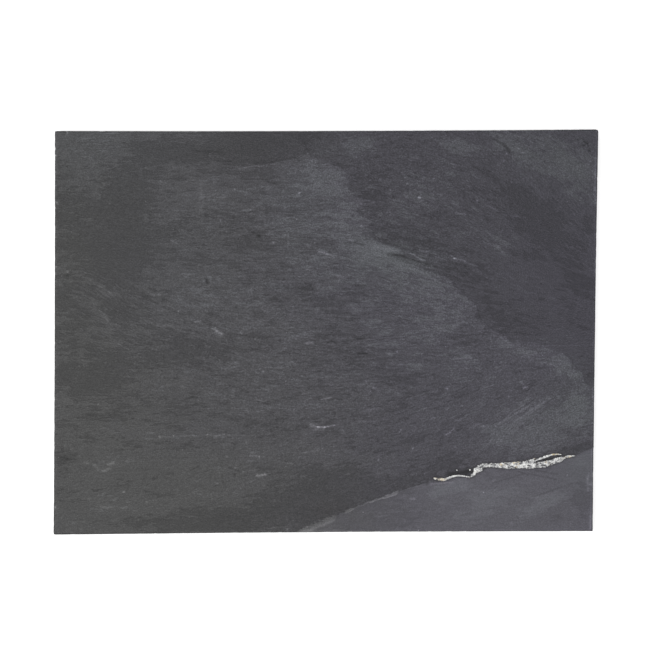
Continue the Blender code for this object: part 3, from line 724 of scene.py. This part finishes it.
def line_cover(points, stations):
    """How far inside a lane of varying width each point is, its share and the lane's height."""
    depth = np.full(len(points), -np.inf)
    half = np.ones(len(points))
    tall = np.zeros(len(points))
    rows = np.array(stations, dtype=float)
    for start, end in zip(rows[:-1], rows[1:]):
        run = end[:2] - start[:2]
        share = np.clip((points - start[:2]) @ run / (run @ run), 0, 1)
        away = np.linalg.norm(points - start[:2] - share[:, None] * run, axis=1)
        width = start[2] + share * (end[2] - start[2])
        better = width - away > depth
        depth = np.where(better, width - away, depth)
        half = np.where(better, width, half)
        tall = np.where(better, start[3] + share * (end[3] - start[3]), tall)
    return depth, half, tall


def vein_cover(points):
    """Distance inside the crust's ragged outline, the share of its width and its height."""
    specks = [[(x, y, size, 0.6), (x + 0.1, y, size, 0.6)] for x, y, size in VEIN_SPECKS]
    lanes = [MAIN_VEIN, UPPER_VEIN, VEIN_TAIL, RUSTY_TAIL] + specks
    cover = line_cover(points, lanes[0])
    for lane in lanes[1:]:
        other = line_cover(points, lane)
        better = other[0] > cover[0]
        cover = [np.where(better, new, old) for new, old in zip(other, cover)]
    depth, half, tall = cover
    ragged = lumps(points, 2.6, 1.6, 4.4) + 0.5 * lumps(points, 0.9, 0.7, 9.6)
    depth = depth + VEIN_RAGGEDNESS * ragged * np.minimum(half, 1.4) * 0.6
    return depth, np.clip(depth / half, 0, 1), tall


def vein_mesh():
    """A closed grid of small cells under the whole of the crust."""
    lanes = np.array(MAIN_VEIN + UPPER_VEIN + VEIN_TAIL + RUSTY_TAIL)
    low = lanes[:, :2].min(axis=0) - 5
    high = lanes[:, :2].max(axis=0) + 4
    columns, rows = (np.ceil((high - low) / VEIN_CELL)).astype(int)
    grid_x, grid_y = np.meshgrid(np.arange(columns) * VEIN_CELL, np.arange(rows) * VEIN_CELL)
    points = np.stack([grid_x.ravel(), grid_y.ravel()], axis=1) + low
    points += 0.2 * VEIN_CELL * np.stack(
        [lumps(points, 0.7, 0.7, 21.3), lumps(points, 0.7, 0.7, 27.9)], axis=1
    )
    depth, _, _ = vein_cover(points)
    near = (depth > -0.25).reshape(rows, columns)
    wanted = near[:-1, :-1] | near[1:, :-1] | near[:-1, 1:] | near[1:, 1:]
    bm = bmesh.new()
    made = {}

    def corner(row, column):
        key = row * columns + column
        if key not in made:
            x, y = points[key]
            made[key] = bm.verts.new((x * MM, y * MM, 0))
        return made[key]

    for row, column in zip(*np.nonzero(wanted)):
        bm.faces.new((
            corner(row, column), corner(row, column + 1),
            corner(row + 1, column + 1), corner(row + 1, column),
        ))
    under = bm.verts.layers.int.new("under")
    tops = bm.faces[:]
    for item in bmesh.ops.extrude_face_region(bm, geom=tops, use_keep_orig=True)["geom"]:
        if isinstance(item, bmesh.types.BMVert):
            item[under] = 1
    return bm


def face_level(plan):
    """Height of the slate's face in metres, as shape_stone gives it without its fine ripples."""
    broad = np.array([relief(x, y) for x, y in plan * MM])
    return THICKNESS + broad - sheet_depth(plan, *split_edges(plan))


def make_vein():
    vein = add_mesh_object("quartz_vein", vein_mesh())
    mesh = vein.data
    place = vertex_places(mesh)
    under = vertex_numbers(mesh, "under")
    plan = place[:, :2] / MM
    depth, share, tall = vein_cover(plan)
    slate = face_level(plan)
    middle = np.array([relief(x, y) for x, y in place[:, :2]]) + THICKNESS - DEEP_SHEET / 2
    dome = np.sqrt(1 - (1 - share) ** 2)
    crystals = np.array([crystal(x, y) for x, y in plan])
    full = middle + (tall * (0.55 + 0.45 * crystals) + 0.25 * crystals - 0.1) * MM
    full = np.maximum(full, slate + 0.35 * crystals * MM)
    edge = slate - 0.3 * MM
    top = edge + (full - edge) * dome
    place[:, 2] = np.where(under == 1, slate - (0.35 + VEIN_ROOT) * MM, top)
    move_vertices(mesh, place)
    rusty = smooth(line_cover(plan, RUSTY_TAIL)[0], -1.6, -0.4)
    set_attributes(mesh, crystal=crystals, stain=np.maximum(rusty, area_cover(plan, STAINS)))
    mesh.materials.append(quartz_material())
    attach(vein, "root")
    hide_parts(STONE_NODE)


def crystal(x, y):
    """Height of the crystals at a point of the crust, from 0 in a void to about 1 on a crown."""
    near, far = noise.voronoi((x / 1.9, y / 1.4, 3.1))[0][:2]
    fine_near, fine_far = noise.voronoi((x / 0.7, y / 0.6, 7.7))[0][:2]
    crown = min(1.0, (far - near) * 1.8)
    fine_crown = min(1.0, (fine_far - fine_near) * 1.8)
    void = min(1.0, max(0.0, 1.0 + 1.6 * noise.noise((x / 2.4, y / 1.2, 5.2))))
    return (0.35 + 0.35 * crown + 0.3 * fine_crown) * void


def edge_distance(points):
    """Distance inwards from the nearest side of the slab."""
    corners = [BACK_LEFT, BACK_RIGHT, FRONT_RIGHT, FRONT_LEFT, BACK_LEFT]
    return line_distance(points, [corner.xy / MM for corner in corners])


def rim_shade_and_tones(points):
    """Tones of the arris itself, mostly painted shade with pale chips along the back of the left side,
    and of the line just inside it, which differ from side to side.
    """
    outward = outward_at(points)
    left = np.clip(-outward[:, 0], 0, 1)
    right = np.clip(outward[:, 0], 0, 1)
    long_side = np.abs(outward[:, 1])
    chips = np.maximum(lumps(points, 2.6, 2.6, 18.1) - 0.25, 0)
    patchy = smooth(lumps(points, 30, 30, 22.7), -0.5, 0.3)
    chipped = smooth(points[:, 1], 30, 70)
    # outer: painted shade along the arris of the long sides, the right side and the front of the left
    # side; pale chips along the back of the left side
    outer = -0.5 * long_side - 0.3 * right + left * (chipped * (3.0 * chips + 0.7) - 0.4)
    inner = 0.3 * right + (0.16 * long_side + 0.3 * left * chips) * patchy
    return outer, inner


def outward_at(points):
    """The direction straight out of the nearest side, for points on the sides."""
    shares = points / (np.array([HALF_LENGTH, HALF_WIDTH]) / MM)
    along_x = np.abs(shares[:, 0]) > np.abs(shares[:, 1])
    outward = np.zeros_like(points)
    outward[along_x, 0] = np.sign(points[along_x, 0])
    outward[~along_x, 1] = np.sign(points[~along_x, 1])
    return outward


def underside_scars(points):
    """Height of the underside above what it rests on, in mm: shallow scars and a fine unevenness."""
    height = 0.06 * np.abs(lumps(points, 24, 11, 12.4))
    for x, y, half_length, half_width in SCARS:
        u = (points[:, 0] - x) / half_length
        v = (points[:, 1] - y) / half_width
        height = np.maximum(height, SCAR_DEPTH * np.sqrt(np.clip(1 - u * u - v * v, 0, 1)))
    return height


def hue_at(points):
    """0 where the slate is neutral grey, at the front left, to 1 where it is purple."""
    x = points[:, 0] + 12 * lumps(points, 40, 20, 15.2) + 14 * lumps(points, 9, 6, 16.4)
    y = points[:, 1]
    x = x - 40 * smooth(-y, -40, 60)
    at, back, front = zip(*HUES)
    behind = np.interp(x, at, back)
    ahead = np.interp(x, at, front)
    hue = ahead + smooth(y, -110, -70) * (behind - ahead)
    return hue * (1 - area_cover(points, GREYER_AREAS))


def area_cover(points, areas):
    """Soft cover of round areas, given as x, y, reach along X and Y, and strength."""
    cover = np.zeros(len(points))
    for x, y, reach_x, reach_y, strength in areas:
        u = (points[:, 0] - x) / reach_x
        v = (points[:, 1] - y) / reach_y
        cover = np.maximum(cover, strength * np.exp(-u * u - v * v))
    return cover


def film_strength(points, deep):
    """How strongly the face is flaked into streaky films: most in the middle, little to the right."""
    x, y = points.T
    middle = np.exp(-((x - 5) / 120) ** 4 - ((y - 30) / 100) ** 4)
    corner = np.exp(-((x - 190) / 60) ** 2 - ((y - 90) / 70) ** 2)
    return (0.42 + 0.42 * middle - 0.15 * corner) * (1 - 0.5 * smooth(deep, 0, 1))


def grit_at(points):
    """How strong the fine speckle is: most at the back right, least at the front left."""
    x, y = points.T
    return 1.0 + 0.4 * smooth(x + 1.2 * y, -150, 260)


def make_stone():
    stone = add_mesh_object("riven_slate", stone_mesh())
    shape_stone(stone.data)
    stone.data.shade_smooth()
    stone.data.set_sharp_from_angle(angle=math.radians(50))
    stone.data.materials.append(slate_material())
    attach(stone, "root")
    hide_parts(STONE_NODE)


# ---------------------------------------------------------------- materials


def calc(tree, operation, *values):
    """A Math node. Each value is a number or a socket."""
    node = tree.nodes.new("ShaderNodeMath")
    node.operation = operation
    for socket, value in zip(node.inputs, values):
        if isinstance(value, (int, float)):
            socket.default_value = value
        else:
            tree.links.new(value, socket)
    return node.outputs[0]


def add_up(tree, total, *terms):
    """The total with each value, times its weight, added to it."""
    for value, weight in terms:
        total = calc(tree, "MULTIPLY_ADD", value, weight, total)
    return total


def vector_calc(tree, operation, *values):
    """A Vector Math node. Each value is a triple or a socket."""
    node = tree.nodes.new("ShaderNodeVectorMath")
    node.operation = operation
    for socket, value in zip(node.inputs, values):
        if isinstance(value, tuple):
            socket.default_value = value
        else:
            tree.links.new(value, socket)
    return node.outputs["Vector"]


def blend_between(tree, value, low, high):
    """0 below low, 1 above high and smooth between."""
    node = tree.nodes.new("ShaderNodeMapRange")
    node.interpolation_type = "SMOOTHSTEP"
    tree.links.new(value, node.inputs["Value"])
    node.inputs["From Min"].default_value = low
    node.inputs["From Max"].default_value = high
    return node.outputs["Result"]


def attribute(tree, name):
    node = tree.nodes.new("ShaderNodeAttribute")
    node.attribute_name = name
    return node.outputs["Fac"]


def noise_value(tree, vector, scale, detail=2.0, roughness=0.5):
    node = tree.nodes.new("ShaderNodeTexNoise")
    tree.links.new(vector, node.inputs["Vector"])
    node.inputs["Scale"].default_value = scale
    node.inputs["Detail"].default_value = detail
    node.inputs["Roughness"].default_value = roughness
    return node.outputs["Fac"]


def grain_group():
    """Streaks that follow a heading from place to place.

    Each of a fan of fixed headings has its own streaks, and the two nearest to the heading
    given are blended, so the streaks turn without being stretched.
    """
    group = bpy.data.node_groups.new("slate_grain", "ShaderNodeTree")
    sockets = group.interface
    sockets.new_socket("Position", in_out="INPUT", socket_type="NodeSocketVector")
    sockets.new_socket("Heading", in_out="INPUT", socket_type="NodeSocketFloat")
    sockets.new_socket("Scale", in_out="INPUT", socket_type="NodeSocketVector")
    sockets.new_socket("Streaks", in_out="OUTPUT", socket_type="NodeSocketFloat")
    given = group.nodes.new("NodeGroupInput")
    result = group.nodes.new("NodeGroupOutput")
    heading = calc(group, "MAXIMUM", given.outputs["Heading"], HEADINGS[0])
    heading = calc(group, "MINIMUM", heading, HEADINGS[-1])
    streaks = 0.0
    power = 0.0
    for number, fixed in enumerate(HEADINGS):
        turned = group.nodes.new("ShaderNodeMapping")
        turned.inputs["Rotation"].default_value = (0, 0, -fixed)
        turned.inputs["Location"].default_value = (0, 0, number * 0.37)
        group.links.new(given.outputs["Position"], turned.inputs["Vector"])
        scaled = vector_calc(group, "MULTIPLY", turned.outputs["Vector"], given.outputs["Scale"])
        value = noise_value(group, scaled, 1.0, 3.0, 0.55)
        away = calc(group, "ABSOLUTE", calc(group, "SUBTRACT", heading, fixed))
        weight = calc(group, "MULTIPLY_ADD", away, -1 / HEADING_STEP, 1.0)
        weight = calc(group, "MAXIMUM", weight, 0.0)
        centred = calc(group, "SUBTRACT", value, 0.5)
        streaks = calc(group, "MULTIPLY_ADD", centred, weight, streaks)
        power = calc(group, "MULTIPLY_ADD", weight, weight, power)
    streaks = calc(group, "DIVIDE", streaks, calc(group, "SQRT", power))
    group.links.new(streaks, result.inputs["Streaks"])
    return group


def place_grain(tree, group, position, heading, along, across):
    """The grain group with streaks of this length and width, in metres."""
    node = tree.nodes.new("ShaderNodeGroup")
    node.node_tree = group
    tree.links.new(position, node.inputs["Position"])
    tree.links.new(heading, node.inputs["Heading"])
    node.inputs["Scale"].default_value = (1 / along, 1 / across, 1 / across)
    return node.outputs["Streaks"]


def slate_material():
    material = bpy.data.materials.new("riven_slate")
    material.use_nodes = True
    tree = material.node_tree
    shader = tree.nodes["Principled BSDF"]
    position = tree.nodes.new("ShaderNodeTexCoord").outputs["Object"]
    heading = attribute(tree, "grain_heading")
    grain = grain_group()
    torn = warped(tree, position, STREAK_WARP, STREAK_WARP)
    wavy = part_way(tree, position, torn, FINE_WARP_SHARE)
    fine = place_grain(tree, grain, wavy, heading, *FINE_STREAK)
    wisps = place_grain(tree, grain, wavy, heading, *WISP)
    shreds = place_grain(tree, grain, torn, heading, *SHRED)
    broad = place_grain(tree, grain, torn, heading, *BROAD_STREAK)
    speckle = calc(tree, "SUBTRACT", noise_value(tree, position, 1 / SPECKLE_SIZE, 0.0), 0.5)
    tone = attribute(tree, "tone")
    riser = calc(tree, "MULTIPLY_ADD", fine, 0.8, attribute(tree, "deep_edge"))
    floor = blend_between(tree, riser, 0.0, 0.9)

    frayed = add_up(tree, attribute(tree, "thin_edge"), (wisps, 5.0), (shreds, 3.5), (fine, 1.5))
    split = blend_between(tree, frayed, -0.45, 0.45)
    kept = calc(tree, "SUBTRACT", 1.0, split)
    split = calc(tree, "MULTIPLY", split, calc(tree, "SUBTRACT", 1.0, floor))
    tone = calc(tree, "MULTIPLY_ADD", attribute(tree, "wedge"), kept, tone)

    # Thin films of the slate that are left or gone, with frayed edges
    film = calc(tree, "MULTIPLY", broad, BROAD_FILMS)
    film = add_up(tree, film, (shreds, SHREDDED_FILMS), (wisps, FILM_FRAY))
    film = calc(tree, "MULTIPLY_ADD", film, attribute(tree, "film"), tone)
    pale = blend_between(tree, film, 0.25, 0.45)
    dark = blend_between(tree, film, -0.25, -0.45)

    contrast = calc(tree, "MULTIPLY_ADD", floor, FLOOR_FLATNESS, 1.0)
    streaky = attribute(tree, "film")
    shade = calc(tree, "MULTIPLY", fine, calc(tree, "MULTIPLY_ADD", streaky, 0.3, 0.7))
    shade = calc(tree, "MULTIPLY", shade, FINE_CONTRAST)
    wisp_tone = calc(tree, "MULTIPLY", wisps, calc(tree, "MULTIPLY_ADD", streaky, 0.55, 0.52))
    speckled = calc(tree, "MULTIPLY", speckle, attribute(tree, "grit"))
    shade = add_up(
        tree, shade, (wisp_tone, WISP_CONTRAST), (speckled, SPECKLE_CONTRAST),
        (pale, FILM_CONTRAST), (dark, -FILM_CONTRAST), (broad, BROAD_CONTRAST),
    )
    shade = calc(tree, "MULTIPLY", shade, contrast)
    # The tone and the marks hold painted shade as well: dark patches and strokes along the quartz
    # crust, in dents and pits, and beside raised flakes
    shade = add_up(
        tree, shade, (tone, TONE_STEP), (attribute(tree, "mark"), MARK_STEP),
        (floor, FLOOR_PALENESS), (split, SPLIT_DARKNESS),
    )
    crest = blend_between(tree, riser, -0.2, 0.1)
    lip = calc(tree, "SUBTRACT", crest, blend_between(tree, riser, 0.8, 1.2))
    lip = calc(tree, "MULTIPLY", lip, attribute(tree, "riser_tone"))
    shade = calc(tree, "MULTIPLY_ADD", lip, calc(tree, "MULTIPLY_ADD", wisps, 0.8, 0.8), shade)
    # Painted shade around the quartz crust, and pale flecks of mica
    shade = add_up(
        tree, shade, (attribute(tree, "vein_halo"), VEIN_SHADE_DARKNESS),
        (fleck_cover(tree, position), FLECK_PALENESS),
    )

    # The laminations of the sides
    per_layer = (1 / LAYER_LENGTH, 1 / LAYER_LENGTH, 1 / LAYER_THICKNESS)
    stretched = vector_calc(tree, "MULTIPLY", position, per_layer)
    layers = calc(tree, "SUBTRACT", noise_value(tree, stretched, 1.0, 3.0, 0.6), 0.5)
    side_shade = add_up(tree, SIDE_PALENESS, (speckle, 1.2), (layers, 2.2))
    side = attribute(tree, "side")
    shade = calc(tree, "MULTIPLY_ADD", side, calc(tree, "SUBTRACT", side_shade, shade), shade)
    # Along the arris: painted shade, with pale chips on the left side; a paler line just inside it
    rim = attribute(tree, "rim")
    arris = calc(tree, "SUBTRACT", 1.0, blend_between(tree, rim, 0.7, 1.4))
    within = blend_between(tree, rim, 1.0, 1.5)
    within = calc(tree, "SUBTRACT", within, blend_between(tree, rim, 1.8, 2.5))
    shade = add_up(
        tree, shade, (arris, attribute(tree, "outer_rim")), (within, attribute(tree, "inner_rim"))
    )
    brightness = calc(tree, "EXPONENT", shade)

    hue = calc(tree, "MULTIPLY_ADD", lip, -0.2, attribute(tree, "hue"))
    tint = mix_colours(tree, hue, NEUTRAL_SLATE, PURPLE_SLATE)
    cool = calc(tree, "MULTIPLY_ADD", hue, 0.4, 0.2)
    cool = add_up(tree, attribute(tree, "cool"), (cool, blend_between(tree, film, 0.0, 0.9)))
    tint = mix_colours(tree, cool, tint, COOL_SLATE)
    tint = mix_colours(tree, attribute(tree, "warm"), tint, WARM_SLATE)
    lit = vector_calc(tree, "MULTIPLY", tint, brightness)
    tree.links.new(lit, shader.inputs["Base Color"])

    roughness = calc(tree, "MULTIPLY_ADD", fine, -0.25, 0.62)
    tree.links.new(roughness, shader.inputs["Roughness"])
    shader.inputs["Specular IOR Level"].default_value = 0.35
    upper = blend_between(tree, film, 0.30, 0.40)
    terraces = calc(tree, "ADD", upper, blend_between(tree, film, -0.45, -0.35))
    height = calc(tree, "MULTIPLY", terraces, FILM_STEP)
    height = add_up(
        tree, height, (fine, FINE_DEPTH), (wisps, WISP_DEPTH), (speckle, SPECKLE_DEPTH)
    )
    side_height = calc(tree, "MULTIPLY", speckle, SIDE_SPECKLE_DEPTH)
    side_height = add_up(tree, side_height, (layers, LAYER_DEPTH))
    height = calc(tree, "MULTIPLY_ADD", side, calc(tree, "SUBTRACT", side_height, height), height)
    add_bump(tree, shader, height, 1.0)
    return material


def add_bump(tree, shader, height, distance):
    bump = tree.nodes.new("ShaderNodeBump")
    bump.inputs["Distance"].default_value = distance
    tree.links.new(height, bump.inputs["Height"])
    tree.links.new(bump.outputs["Normal"], shader.inputs["Normal"])


def random_cells(tree, position, size):
    """Distance in a pattern of cells of this size, and the random numbers of each cell."""
    cells = tree.nodes.new("ShaderNodeTexVoronoi")
    cells.inputs["Scale"].default_value = 1 / size
    tree.links.new(position, cells.inputs["Vector"])
    numbers = tree.nodes.new("ShaderNodeSeparateColor")
    tree.links.new(cells.outputs["Color"], numbers.inputs["Color"])
    return cells.outputs["Distance"], numbers.outputs


def warped(tree, position, size, reach):
    """The position, pushed about by noise of this size and reach, in metres."""
    push = tree.nodes.new("ShaderNodeTexNoise")
    push.inputs["Scale"].default_value = 1 / size
    push.inputs["Detail"].default_value = 3.0
    tree.links.new(position, push.inputs["Vector"])
    centred = vector_calc(tree, "SUBTRACT", push.outputs["Color"], (0.5, 0.5, 0.5))
    return vector_calc(tree, "MULTIPLY_ADD", centred, (2 * reach, reach, reach), position)


def part_way(tree, first, second, share):
    """This share of the way from one vector to another."""
    mix = tree.nodes.new("ShaderNodeMix")
    mix.data_type = "VECTOR"
    mix.inputs["Factor"].default_value = share
    tree.links.new(first, mix.inputs["A"])
    tree.links.new(second, mix.inputs["B"])
    return mix.outputs["Result"]


def fleck_cover(tree, position):
    """1 on sparse small flecks of mica and 0 between them."""
    distance, chance = random_cells(tree, position, FLECK_SPACING)
    reach = calc(tree, "MULTIPLY_ADD", chance["Green"], 0.05, 0.04)
    cover = blend_between(tree, calc(tree, "SUBTRACT", reach, distance), 0.0, 0.04)
    picked = blend_between(tree, chance["Red"], 0.55, 0.6)
    return calc(tree, "MULTIPLY", cover, picked)


def mix_colours(tree, factor, first, second, blend="MIX"):
    """A Mix node. Each colour is a triple or a socket."""
    mix = tree.nodes.new("ShaderNodeMix")
    mix.data_type = "RGBA"
    mix.blend_type = blend
    tree.links.new(factor, mix.inputs["Factor"])
    for socket, colour in ((mix.inputs["A"], first), (mix.inputs["B"], second)):
        if isinstance(colour, tuple):
            socket.default_value = (*colour, 1.0)
        else:
            tree.links.new(colour, socket)
    return mix.outputs["Result"]


def quartz_material():
    """Milky quartz with clear grey grains, dark voids and patches that iron has stained."""
    material = bpy.data.materials.new("vein_quartz")
    material.use_nodes = True
    tree = material.node_tree
    shader = tree.nodes["Principled BSDF"]
    position = tree.nodes.new("ShaderNodeTexCoord").outputs["Object"]
    _, grain = random_cells(tree, position, CRYSTAL_SIZE)
    cloud = calc(tree, "SUBTRACT", noise_value(tree, position, 1 / CLOUD_SIZE, 2.0), 0.5)
    milky = add_up(tree, attribute(tree, "crystal"), (grain["Red"], 0.35), (cloud, 1.2))
    paleness = tree.nodes.new("ShaderNodeValToRGB")
    ramp = paleness.color_ramp
    ramp.elements[0].position = 0.25
    ramp.elements[0].color = (*VOID_QUARTZ, 1)
    ramp.elements[1].position = 0.95
    ramp.elements[1].color = (*MILKY_QUARTZ, 1)
    middle = ramp.elements.new(0.55)
    middle.color = (*CLEAR_QUARTZ, 1)
    tree.links.new(milky, paleness.inputs["Fac"])
    rust = noise_value(tree, position, 1 / RUST_SIZE, 3.0, 0.6)
    rust = add_up(tree, rust, (grain["Green"], 0.12), (attribute(tree, "stain"), 0.22))
    rust = blend_between(tree, rust, 0.66, 0.80)
    colour = mix_colours(tree, rust, paleness.outputs["Color"], RUST, blend="MULTIPLY")
    tree.links.new(colour, shader.inputs["Base Color"])
    roughness = calc(tree, "MULTIPLY_ADD", grain["Blue"], 0.35, 0.2)
    tree.links.new(roughness, shader.inputs["Roughness"])
    add_bump(tree, shader, grain["Red"], CRYSTAL_DEPTH)
    return material


# ---------------------------------------------------------------- the studio


def make_floor():
    bm = bmesh.new()
    bmesh.ops.create_grid(bm, x_segments=1, y_segments=1, size=FLOOR_SIZE / 2)
    floor = add_mesh_object("studio_floor", bm)
    material = bpy.data.materials.new("pale_floor")
    material.use_nodes = True
    shader = material.node_tree.nodes["Principled BSDF"]
    shader.inputs["Base Color"].default_value = (0.92, 0.92, 0.92, 1.0)
    shader.inputs["Roughness"].default_value = 0.9
    shader.inputs["Specular IOR Level"].default_value = 0.0
    shader.inputs["Emission Color"].default_value = (1.0, 1.0, 1.0, 1.0)
    shader.inputs["Emission Strength"].default_value = 0.45
    floor.data.materials.append(material)


def add_softbox(name, place, size, power):
    """A square lamp that faces the middle of the slab."""
    lamp = bpy.data.lights.new(name, "AREA")
    lamp.size = size
    lamp.energy = power
    box = bpy.data.objects.new(name, lamp)
    box.location = place
    box.rotation_euler = (-Vector(place)).to_track_quat("-Z", "Y").to_euler()
    box.visible_camera = False
    bpy.context.scene.collection.objects.link(box)


def make_light():
    world = bpy.data.worlds.new("studio_air")
    world.use_nodes = True
    sky = world.node_tree.nodes["Background"]
    sky.inputs["Color"].default_value = (1.0, 1.0, 1.0, 1.0)
    sky.inputs["Strength"].default_value = SKY_STRENGTH
    scene = bpy.context.scene
    scene.world = world
    scene.view_settings.view_transform = "Standard"
    add_softbox("key_softbox", (-1.6, -0.5, 1.9), 1.0, KEY_POWER)


def make_camera():
    """Straight above the slab, far enough away that the sides stay hidden."""
    lens = bpy.data.cameras.new("camera")
    distance = CAMERA_HEIGHT - THICKNESS
    lens.sensor_width = 36.0
    lens.lens = lens.sensor_width * distance / VIEW_WIDTH
    lens.clip_end = 50.0
    camera = bpy.data.objects.new("camera", lens)
    camera.location = (*VIEW_MIDDLE, CAMERA_HEIGHT)
    bpy.context.scene.collection.objects.link(camera)
    bpy.context.scene.camera = camera


make_camera()
make_floor()
make_light()
make_stone()
make_vein()
